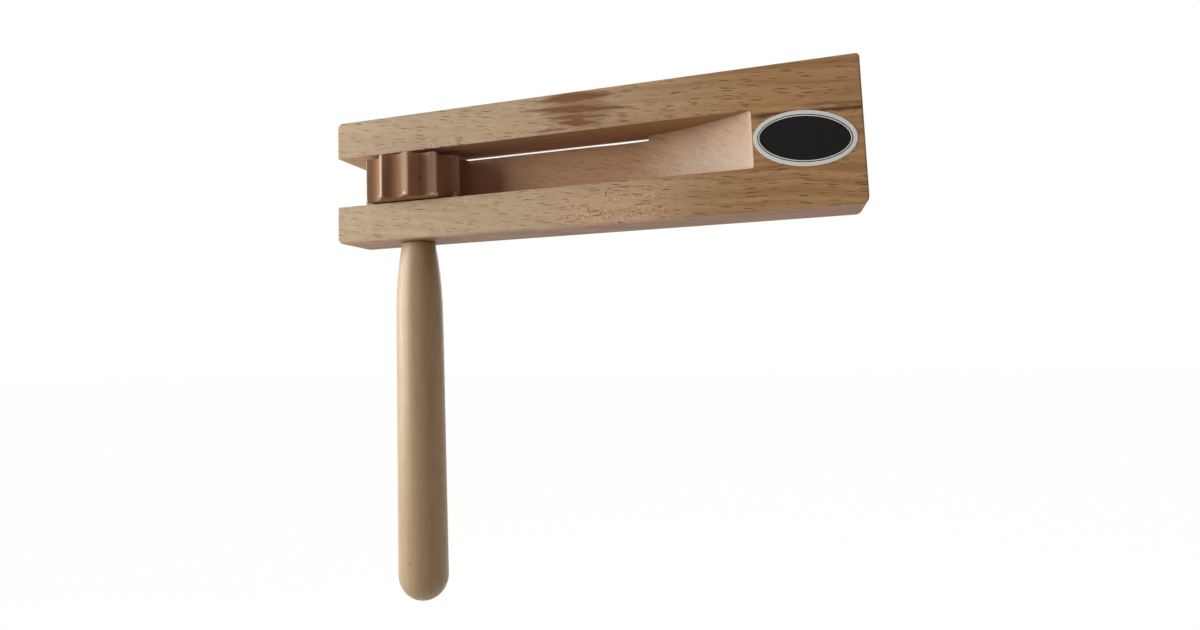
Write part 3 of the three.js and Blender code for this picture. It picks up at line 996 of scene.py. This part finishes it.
def slanted(point):
    """Lifts a point of the tongue's upper edge towards the front, where the kerf was sawn at a slant."""
    x, y, z = point
    if z < (tongue_low.z + tongue_high.z) / 2:
        return point
    to_root = max(0, (x - ramp_start_x) / (kerf_end_x - ramp_start_x))
    slant = UPPER_KERF_SLANT + (ROOT_KERF_SLANT - UPPER_KERF_SLANT) * to_root
    return x, y, z + slant * (back_y - y) / (back_y - groove_floor(x))


def clapper_tongue(milled, planed):
    """The springy strip at the back of the groove. Its root reaches into the block, under the surface."""
    radii = [TONGUE_EDGE_ROUND] * 4
    tip_x = tongue_low.x
    length = kerf_end_x - tip_x
    count = round(length / BLOCK_STATION)
    stations = [tip_x + d for d in end_distances(TONGUE_EDGE_ROUND)]
    rest = length - TONGUE_EDGE_ROUND
    stations += [tip_x + TONGUE_EDGE_ROUND + rest * i / count for i in range(count + 1)]
    rings = []
    for x in stations:
        inset = inset_at(x - tip_x, TONGUE_EDGE_ROUND)
        low = (groove_floor(x) + inset, tongue_low.z + inset)
        high = (back_y - inset, tongue_high.z - inset)
        ring = section(x, low, high, [max(TONGUE_LEAST_ROUND, radius - inset) for radius in radii])
        rings.append([slanted(point) for point in ring])
    low = (groove_floor(kerf_end_x) + TONGUE_ROOT_INSET, tongue_low.z + TONGUE_ROOT_INSET)
    high = (back_y - TONGUE_ROOT_INSET, tongue_high.z - TONGUE_ROOT_INSET)
    for x in (kerf_end_x + TONGUE_ROOT_STEP, kerf_end_x + TONGUE_ROOT_REACH):
        rings.append(section(x, low, high, radii))
    tongue = loft("clapper_tongue", rings, [milled, planed])
    for face in tongue.data.polygons:
        face.material_index = 1 if face.normal.y > TONGUE_BACK_NORMAL else 0
    smooth(tongue)
    keep_places(tongue)
    return tongue


def turned_handle(material):
    """Round butt, tapered grip, shoulder that swells from the neck, and the axle up to the block's top."""
    butt_radius = handle_high.x
    butt_z, axle_top = handle_low.z, handle_high.z
    neck_z = block_low.z - HANDLE_TO_BLOCK
    shoulder_z = neck_z - SHOULDER_LENGTH
    swell = SHOULDER_RADIUS - NECK_RADIUS
    arc_radius = (SHOULDER_LENGTH**2 + swell**2) / (2 * swell)
    arc_turn = math.asin((SHOULDER_LENGTH - NECK_EDGE_ROUND) / arc_radius)
    profile = []
    for step in range(1, TURNING_STEPS + 1):
        angle = math.pi / 2 * step / TURNING_STEPS
        profile.append((butt_radius * math.sin(angle), butt_z + butt_radius * (1 - math.cos(angle))))
    for step in range(1, GRIP_STEPS):
        share = step / GRIP_STEPS
        z = butt_z + butt_radius + (shoulder_z - butt_z - butt_radius) * share
        profile.append((butt_radius + (SHOULDER_RADIUS - butt_radius) * share, z))
    for step in range(TURNING_STEPS + 1):
        angle = arc_turn * step / TURNING_STEPS
        radius = SHOULDER_RADIUS - arc_radius * (1 - math.cos(angle))
        profile.append((radius, shoulder_z + arc_radius * math.sin(angle)))
    last_radius, last_z = profile[-1]
    for step in range(1, NECK_STEPS + 1):
        angle = math.pi / 2 * step / NECK_STEPS
        radius = last_radius - NECK_EDGE_ROUND * (1 - math.cos(angle))
        profile.append((radius, last_z + (neck_z - last_z) * math.sin(angle)))
    profile += [(AXLE_RADIUS, neck_z), (AXLE_RADIUS, axle_top - AXLE_TOP_EASE)]
    profile.append((AXLE_RADIUS - AXLE_TOP_EASE, axle_top))
    handle = lathe("turned_handle", profile, [material], ROUND_FACETS, ((0, 0, butt_z), (0, 0, axle_top)))
    smooth(handle)
    return handle


def brad(material):
    """Small nail that locks the cog to the axle, with a slightly domed head."""
    head = gullet_floor - NAIL_HEAD_SINK
    profile = [(NAIL_SHANK_RADIUS, head - NAIL_LENGTH + 2 * NAIL_SHANK_RADIUS)]
    profile.append((NAIL_SHANK_RADIUS, head - NAIL_HEAD_THICKNESS - NAIL_HEAD_TAPER))
    profile.append((NAIL_HEAD_RADIUS, head - NAIL_HEAD_THICKNESS))
    for step in range(NAIL_DOME_STEPS):
        share = step / NAIL_DOME_STEPS
        lift = math.sin(math.pi / 2 * share)
        profile.append((NAIL_HEAD_RADIUS * (1 - share), head - NAIL_HEAD_DOME * (1 - lift)))
    poles = ((0, 0, head - NAIL_LENGTH), (0, 0, head))
    nail = lathe("brad", profile, [material], NAIL_FACETS, poles, nail_place)
    smooth(nail)
    return nail


def oval_label(white, black):
    """Oval sticker, printed with a pale rim, a fine dark line, a pale gap and a plain dark field."""
    middle = (label_low + label_high) / 2
    across = Vector((math.cos(LABEL_TILT), 0, -math.sin(LABEL_TILT)))
    up = Vector((math.sin(LABEL_TILT), 0, math.cos(LABEL_TILT)))
    face_y = label_low.y
    edge_y = label_low.y + LABEL_EDGE_ROUND
    line = LABEL_EDGE_ROUND + LABEL_RIM
    gap = line + LABEL_LINE
    field = gap + LABEL_GAP
    steps = [(0, label_high.y), (0, edge_y), (LABEL_EDGE_MIDDLE, face_y + LABEL_EDGE_MIDDLE)]
    steps += [(inset, face_y) for inset in (LABEL_EDGE_ROUND, line, gap, field)]
    rings = []
    for inset, y in steps:
        ring = []
        for i in range(ROUND_FACETS):
            angle = 2 * math.pi * i / ROUND_FACETS
            out = Vector((math.cos(angle) / LABEL_LENGTH, math.sin(angle) / LABEL_HEIGHT)).normalized()
            u = LABEL_LENGTH / 2 * math.cos(angle) - inset * out.x
            v = LABEL_HEIGHT / 2 * math.sin(angle) - inset * out.y
            ring.append(Vector((middle.x, y, middle.z)) + across * u + up * v)
        rings.append(ring)
    label = loft("oval_label", rings, [white, black])
    dark_bands = (steps.index((line, face_y)), steps.index((field, face_y)))
    for index, face in enumerate(label.data.polygons):
        face.material_index = 1 if index // ROUND_FACETS in dark_bands else 0
    smooth(label)
    return label


# Trees of geometry nodes


def open_tree(name, values):
    """Starts a tree with named inputs. Returns it, its inputs and their values by identifier."""
    tree = bpy.data.node_groups.new(name, "GeometryNodeTree")
    settings = {}
    for label, value in values.items():
        kind = "NodeSocketInt" if isinstance(value, int) else "NodeSocketFloat"
        socket = tree.interface.new_socket(name=label, in_out="INPUT", socket_type=kind)
        settings[socket.identifier] = value
    tree.interface.new_socket(name="Geometry", in_out="OUTPUT", socket_type="NodeSocketGeometry")
    return tree, tree.nodes.new("NodeGroupInput").outputs, settings


def close_tree(tree, shape, material):
    """Ends a tree with its material and its output."""
    shape = node(tree, "GeometryNodeSetMaterial", {"Geometry": shape, "Material": material})
    node(tree, "NodeGroupOutput", {0: shape})


def made_by(name, tree, settings):
    """An object made by a tree of geometry nodes, turned into a plain mesh."""
    piece = mesh_object(name, [], [], [])
    maker = piece.modifiers.new(name, "NODES")
    maker.node_group = tree
    for identifier, value in settings.items():
        maker[identifier] = value
    settle(piece)
    piece.data.materials.pop(index=0)
    face_out(piece.data)
    return piece


def round_axle(tree, radius, angle, z):
    """A place at this radius and angle round the axle and at this height."""
    place = {2: z}
    for axis, operation in enumerate(("COSINE", "SINE")):
        out = node(tree, "ShaderNodeMath", {0: angle}, operation=operation)
        place[axis] = node(tree, "ShaderNodeMath", {0: radius, 1: out}, operation="MULTIPLY")
    return node(tree, "ShaderNodeCombineXYZ", place)


def cog_outline(tree, given, angle):
    """Radius at an angle: the gullet's arc up to the tip circle, with the striking side worn to a slope."""
    tip = given["Tip Radius"]
    cosine = node(tree, "ShaderNodeMath", {0: angle}, operation="COSINE")
    sine = node(tree, "ShaderNodeMath", {0: angle}, operation="SINE")
    aside = node(tree, "ShaderNodeMath", {0: given["Gullet Ring"], 1: sine}, operation="MULTIPLY")
    aside = node(tree, "ShaderNodeMath", {0: aside, 1: 2.0}, operation="POWER")
    hollow = node(tree, "ShaderNodeMath", {0: given["Gullet Radius"], 1: 2.0}, operation="POWER")
    hollow = node(tree, "ShaderNodeMath", {0: hollow, 1: aside}, operation="SUBTRACT")
    hollow = node(tree, "ShaderNodeMath", {0: hollow, 1: 0.0}, operation="MAXIMUM")
    hollow = node(tree, "ShaderNodeMath", {0: hollow}, operation="SQRT")
    outline = node(tree, "ShaderNodeMath", {0: given["Gullet Ring"], 1: cosine}, operation="MULTIPLY")
    outline = node(tree, "ShaderNodeMath", {0: outline, 1: hollow}, operation="SUBTRACT")
    outline = node(tree, "ShaderNodeMath", {0: outline, 1: tip}, operation="MINIMUM")
    worn = node(tree, "ShaderNodeMath", {0: tip, 1: given["Wear Drop"]}, operation="SUBTRACT")
    crest = node(tree, "ShaderNodeMath", {0: tip, 1: given["Wear Blend"]}, operation="ADD")
    slope = {0: angle, 1: given["Wear Start"], 2: given["Crest"], 3: worn, 4: crest}
    slope = node(tree, "ShaderNodeMapRange", slope)
    worn = {0: outline, 1: slope, 2: given["Wear Blend"]}
    worn = node(tree, "ShaderNodeMath", worn, operation="SMOOTH_MIN")
    strikes = node(tree, "ShaderNodeMath", {0: angle, 1: 0.0}, operation="GREATER_THAN")
    return node(tree, "ShaderNodeMix", {0: strikes, 2: outline, 3: worn}, data_type="FLOAT")


def chipped(tree, given, wheel):
    """Chips the lands at the foot, where the saw came out."""
    here = node(tree, "GeometryNodeInputPosition")
    rough = {"Vector": here, "Scale": 1 / (CHIP_SIZE * MM), "Detail": 3}
    rough = node(tree, "ShaderNodeTexNoise", rough)
    rough = node(tree, "ShaderNodeMapRange", {0: rough, 1: 0.48, 2: 0.8})
    flat = node(tree, "ShaderNodeVectorMath", {0: here, 1: (1, 1, 0)}, operation="MULTIPLY")
    reach = node(tree, "ShaderNodeVectorMath", {0: flat}, "Value", operation="LENGTH")
    near_tip = node(tree, "ShaderNodeMath", {0: given["Tip Radius"], 1: reach}, operation="SUBTRACT")
    near_tip = node(tree, "ShaderNodeMapRange", {0: near_tip, 1: CHIP_REACH * MM, 2: CHIP_SKIN * MM})
    low = node(tree, "ShaderNodeSeparateXYZ", {0: here}, "Z")
    low = node(tree, "ShaderNodeMath", {0: low, 1: given["Foot"]}, operation="SUBTRACT")
    low = node(tree, "ShaderNodeMapRange", {0: low, 1: given["Chip Height"], 2: 0.0})
    chip = {0: where_all(tree, rough, near_tip, low), 1: given["Chip Depth"]}
    chip = node(tree, "ShaderNodeMath", chip, operation="MULTIPLY")
    inward = node(tree, "ShaderNodeVectorMath", {0: flat}, operation="NORMALIZE")
    inward = {0: inward, 1: (-1, -1, 0), 2: (0, 0, CHIP_LIFT)}
    inward = node(tree, "ShaderNodeVectorMath", inward, operation="MULTIPLY_ADD")
    offset = node(tree, "ShaderNodeVectorMath", {0: inward, 3: chip}, operation="SCALE")
    return node(tree, "GeometryNodeSetPosition", {"Geometry": wheel, "Offset": offset})


def fluted_cog_tree(material):
    """The cog by a rule: one gullet with its land, set round the axle once for each tooth."""
    values = {
        "Teeth": COG_TEETH,
        "Pitch": pitch_angle,
        "Gullet Half Angle": gullet_half_angle,
        "First Gullet": first_gullet_angle,
        "Tip Radius": COG_TIP_RADIUS * MM,
        "Gullet Radius": gullet_radius * MM,
        "Gullet Ring": gullet_ring * MM,
        "Bore Radius": COG_BORE_RADIUS * MM,
        "Edge Ease": COG_EDGE_EASE * MM,
        "Crest": crest_angle,
        "Wear Start": crest_angle - COG_WEAR_REACH / COG_TIP_RADIUS,
        "Wear Drop": COG_WEAR_DROP * MM,
        "Wear Blend": COG_WEAR_BLEND * MM,
        "Foot": cog_low.z * MM,
        "Top": cog_high.z * MM,
        "Chip Depth": CHIP_DEPTH * MM,
        "Chip Height": CHIP_HEIGHT * MM,
    }
    tree, given, settings = open_tree("fluted_cog", values)

    # One pitch as a sheet: steps round the gullet and land, and rows up the flank and back down the bore
    round_steps = GULLET_STEPS + LAND_STEPS
    last_row = FLANK_ROWS + 3
    sheet = node(tree, "GeometryNodeMeshGrid", {"Vertices X": round_steps + 1, "Vertices Y": last_row + 1})
    share = node(tree, "ShaderNodeSeparateXYZ", {0: sheet.node.outputs["UV Map"]})
    step = node(tree, "ShaderNodeMath", {0: share, 1: round_steps}, operation="MULTIPLY")
    row = node(tree, "ShaderNodeMath", {0: share.node.outputs[1], 1: last_row}, operation="MULTIPLY")

    # Angle from the gullet's middle: even steps through the gullet, then even steps over the land
    half_angle = given["Gullet Half Angle"]
    in_gullet = node(tree, "ShaderNodeMapRange", {0: step, 2: GULLET_STEPS, 3: -1, 4: 1})
    gullet_angle = node(tree, "ShaderNodeMath", {0: in_gullet, 1: half_angle}, operation="MULTIPLY")
    land_angle = {0: half_angle, 1: -2, 2: given["Pitch"]}
    land_angle = node(tree, "ShaderNodeMath", land_angle, operation="MULTIPLY_ADD")
    on_land = node(tree, "ShaderNodeMapRange", {0: step, 1: GULLET_STEPS, 2: round_steps})
    angle = {0: on_land, 1: land_angle, 2: gullet_angle}
    angle = node(tree, "ShaderNodeMath", angle, operation="MULTIPLY_ADD")
    outline = cog_outline(tree, given, angle)

    # Height: rows crowd towards both ends, where the edges are eased. Row 0 and the last two are the bore
    foot, top = given["Foot"], given["Top"]
    up = node(tree, "ShaderNodeMapRange", {0: row, 1: 1, 2: FLANK_ROWS + 1, 3: -math.pi, 4: 0})
    up = node(tree, "ShaderNodeMath", {0: up}, operation="COSINE")
    back_down = node(tree, "ShaderNodeMath", {0: row, 1: FLANK_ROWS + 2.5}, operation="GREATER_THAN")
    up = node(tree, "ShaderNodeMath", {0: back_down, 1: -2, 2: up}, operation="MULTIPLY_ADD")
    z = node(tree, "ShaderNodeMapRange", {0: up, 1: -1, 2: 1, 3: foot, 4: top})
    from_foot = node(tree, "ShaderNodeMath", {0: z, 1: foot}, operation="SUBTRACT")
    from_top = node(tree, "ShaderNodeMath", {0: top, 1: z}, operation="SUBTRACT")
    from_end = node(tree, "ShaderNodeMath", {0: from_foot, 1: from_top}, operation="MINIMUM")
    eased = node(tree, "ShaderNodeMath", {0: given["Edge Ease"], 1: from_end}, operation="SUBTRACT")
    eased = node(tree, "ShaderNodeMath", {0: eased, 1: 0.0}, operation="MAXIMUM")
    outer = node(tree, "ShaderNodeMath", {0: outline, 1: eased}, operation="SUBTRACT")
    above_bore = node(tree, "ShaderNodeMath", {0: row, 1: 0.5}, operation="GREATER_THAN")
    below_bore = node(tree, "ShaderNodeMath", {0: row, 1: FLANK_ROWS + 1.5}, operation="LESS_THAN")
    radius = {0: where_all(tree, above_bore, below_bore), 2: given["Bore Radius"], 3: outer}
    radius = node(tree, "ShaderNodeMix", radius, data_type="FLOAT")
    turned = node(tree, "ShaderNodeMath", {0: angle, 1: given["First Gullet"]}, operation="ADD")
    place = round_axle(tree, radius, turned, z)
    tooth = node(tree, "GeometryNodeSetPosition", {"Geometry": sheet, "Position": place})

    # Every tooth
    points = node(tree, "GeometryNodePoints", {"Count": given["Teeth"]})
    heading = {0: node(tree, "GeometryNodeInputIndex"), 1: given["Pitch"]}
    heading = node(tree, "ShaderNodeMath", heading, operation="MULTIPLY")
    heading = node(tree, "ShaderNodeCombineXYZ", {2: heading})
    teeth = {"Points": points, "Instance": tooth, "Rotation": heading}
    teeth = node(tree, "GeometryNodeInstanceOnPoints", teeth)
    wheel = node(tree, "GeometryNodeRealizeInstances", {0: teeth})
    wheel = node(tree, "GeometryNodeMergeByDistance", {"Geometry": wheel, "Distance": MERGE_DISTANCE * MM})
    close_tree(tree, chipped(tree, given, wheel), material)
    return tree, settings


def fluted_cog(material):
    """The cog, with the hole that has nearly closed over the nail's head."""
    cog = made_by("fluted_cog", *fluted_cog_tree(material))
    depths = (gullet_floor - 2 * NAIL_HEAD_SINK, COG_TIP_RADIUS)
    hole = [(NAIL_HOLE_RADIUS, depth) for depth in depths]
    carve(cog, [lathe("nail_hole", hole, [material], NAIL_FACETS, turn=nail_place)])
    smooth(cog)
    return cog


def torn_fibre_tree(material):
    """Torn fibre by a rule: a few slivers at the foot of each tooth's crest, where the saw came out."""
    values = {
        "Teeth": COG_TEETH,
        "Slivers Per Tooth": SLIVERS_PER_TOOTH,
        "Pitch": pitch_angle,
        "First Crest": first_gullet_angle + crest_angle,
        "Tip Radius": COG_TIP_RADIUS * MM,
        "Foot": cog_low.z * MM,
        "Worn Slope": SLIVER_SLOPE * COG_TIP_RADIUS * MM,
        "Length": SLIVER_LENGTH * MM,
        "Radius": SLIVER_RADIUS * MM,
        "Seed": SLIVER_SEED,
    }
    tree, given, settings = open_tree("torn_fibre", values)

    # Where each sliver starts: angle from the crest, depth under the tip circle and height over the foot
    tooth = {0: node(tree, "GeometryNodeInputIndex"), 1: given["Slivers Per Tooth"]}
    tooth = node(tree, "ShaderNodeMath", tooth, operation="DIVIDE")
    tooth = node(tree, "ShaderNodeMath", {0: tooth}, operation="FLOOR")
    least = (-SLIVER_REACH / COG_TIP_RADIUS, 0, SLIVER_LOWEST * MM)
    most = (0, SLIVER_SINK * MM, SLIVER_HIGHEST * MM)
    start = {0: least, 1: most, "Seed": given["Seed"]}
    start = node(tree, "FunctionNodeRandomValue", start, data_type="FLOAT_VECTOR")
    start = node(tree, "ShaderNodeSeparateXYZ", {0: start})
    angle = {0: tooth, 1: given["Pitch"], 2: given["First Crest"]}
    angle = node(tree, "ShaderNodeMath", angle, operation="MULTIPLY_ADD")
    angle = node(tree, "ShaderNodeMath", {0: angle, 1: start}, operation="ADD")
    radius = {0: start, 1: given["Worn Slope"], 2: given["Tip Radius"]}
    radius = node(tree, "ShaderNodeMath", radius, operation="MULTIPLY_ADD")
    radius = node(tree, "ShaderNodeMath", {0: radius, 1: start.node.outputs["Y"]}, operation="SUBTRACT")
    z = node(tree, "ShaderNodeMath", {0: given["Foot"], 1: start.node.outputs["Z"]}, operation="ADD")
    place = round_axle(tree, radius, angle, z)
    count = {0: given["Teeth"], 1: given["Slivers Per Tooth"]}
    count = node(tree, "ShaderNodeMath", count, operation="MULTIPLY")
    points = node(tree, "GeometryNodePoints", {"Count": count, "Position": place})

    # Each has its own lean and size
    least, most = (-SLIVER_LEAN, -SLIVER_LEAN, 0), (SLIVER_LEAN, SLIVER_LEAN, 2 * math.pi)
    lean = {0: least, 1: most, "Seed": given["Seed"]}
    lean = node(tree, "FunctionNodeRandomValue", lean, data_type="FLOAT_VECTOR")
    size = {0: SLIVER_LEAST_SIZE, 1: SLIVER_MOST_SIZE, "Seed": given["Seed"]}
    size = node(tree, "FunctionNodeRandomValue", size, data_type="FLOAT_VECTOR")
    sliver = {"Vertices": SLIVER_SIDES, "Radius Bottom": given["Radius"], "Depth": given["Length"]}
    sliver = node(tree, "GeometryNodeMeshCone", sliver)
    slivers = {"Points": points, "Instance": sliver, "Rotation": lean, "Scale": size}
    slivers = node(tree, "GeometryNodeInstanceOnPoints", slivers)
    slivers = node(tree, "GeometryNodeRealizeInstances", {0: slivers})
    close_tree(tree, slivers, material)
    return tree, settings


# Camera, light and floor


def add_camera():
    camera = add_object("camera", bpy.data.cameras.new("camera"))
    camera.data.sensor_fit = "HORIZONTAL"
    camera.data.sensor_width = SENSOR_WIDTH
    camera.data.lens = FOCAL_PIXELS * SENSOR_WIDTH / PHOTO_WIDTH
    camera.data.shift_x = (PHOTO_WIDTH / 2 - AXIS_PIXEL[0]) / PHOTO_WIDTH
    camera.data.shift_y = (AXIS_PIXEL[1] - PHOTO_HEIGHT / 2) / PHOTO_WIDTH
    camera.data.clip_start = CAMERA_NEAREST * MM
    heading = Matrix.Rotation(CAMERA_HEADING, 4, "Z")
    pitch = Matrix.Rotation(math.pi / 2 + CAMERA_PITCH, 4, "X")
    roll = Matrix.Rotation(CAMERA_ROLL, 4, "Z")
    camera.matrix_world = Matrix.Translation(Vector(CAMERA_PLACE) * MM) @ heading @ pitch @ roll
    bpy.context.scene.camera = camera


def add_soft_box(name, place, aim, width, height, power, colour):
    light = add_object(name, bpy.data.lights.new(name, "AREA"))
    light.data.shape = "RECTANGLE"
    light.data.size = width * MM
    light.data.size_y = height * MM
    light.data.energy = power
    light.data.color = linear(colour)[:3]
    light.location = Vector(place) * MM
    light.rotation_euler = (Vector(aim) - Vector(place)).to_track_quat("-Z", "Y").to_euler()


def add_world():
    """Soft light from all round. It looks white."""
    world = bpy.data.worlds.new("studio")
    world.use_nodes = True
    tree = world.node_tree
    tree.nodes.clear()
    soft = node(tree, "ShaderNodeBackground", {"Color": linear("#ffcfb8"), "Strength": SOFT_LIGHT})
    white = node(tree, "ShaderNodeBackground", {"Color": (1, 1, 1, 1), "Strength": 1})
    surface = node(tree, "ShaderNodeMixShader", {0: seen_directly(tree), 1: soft, 2: white})
    node(tree, "ShaderNodeOutputWorld", {"Surface": surface})
    bpy.context.scene.world = world


def add_floor():
    z = handle_low.z - FLOOR_BELOW_BUTT
    half = FLOOR_SIZE / 2
    corners = [(-half, -half, z), (half, -half, z), (half, half, z), (-half, half, z)]
    floor = mesh_object("floor", corners, [(0, 1, 2, 3)], [pale_floor()])


add_camera()
add_world()
for soft_box in SOFT_BOXES:
    add_soft_box(*soft_box)
add_floor()

planed = planed_beech()
milled = milled_beech()

block = beech_block(planed, milled)
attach(block, "frame")
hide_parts("body_block")

tongue = clapper_tongue(milled, planed)
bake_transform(tongue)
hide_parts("tongue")

cog = fluted_cog(fluted_beech())
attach(cog, "spindle")
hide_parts("cog_wheel")

slivers = made_by("torn_fibre", *torn_fibre_tree(torn_fibre()))
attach(slivers, "spindle")

handle = turned_handle(turned_beech())
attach(handle, "spindle")
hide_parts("handle")

nail = brad(oxidised_steel())
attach(nail, "spindle")
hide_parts("cog_nail")

white_vinyl = printed_vinyl("white_vinyl", "#dbe2e1", "#d0d7d6", 0.3)
black_vinyl = printed_vinyl("black_vinyl", "#101211", "#191b1a", 0.1)
label = oval_label(white_vinyl, black_vinyl)
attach(label, "frame")
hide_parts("label")

bpy.context.scene.view_settings.view_transform = "Standard"
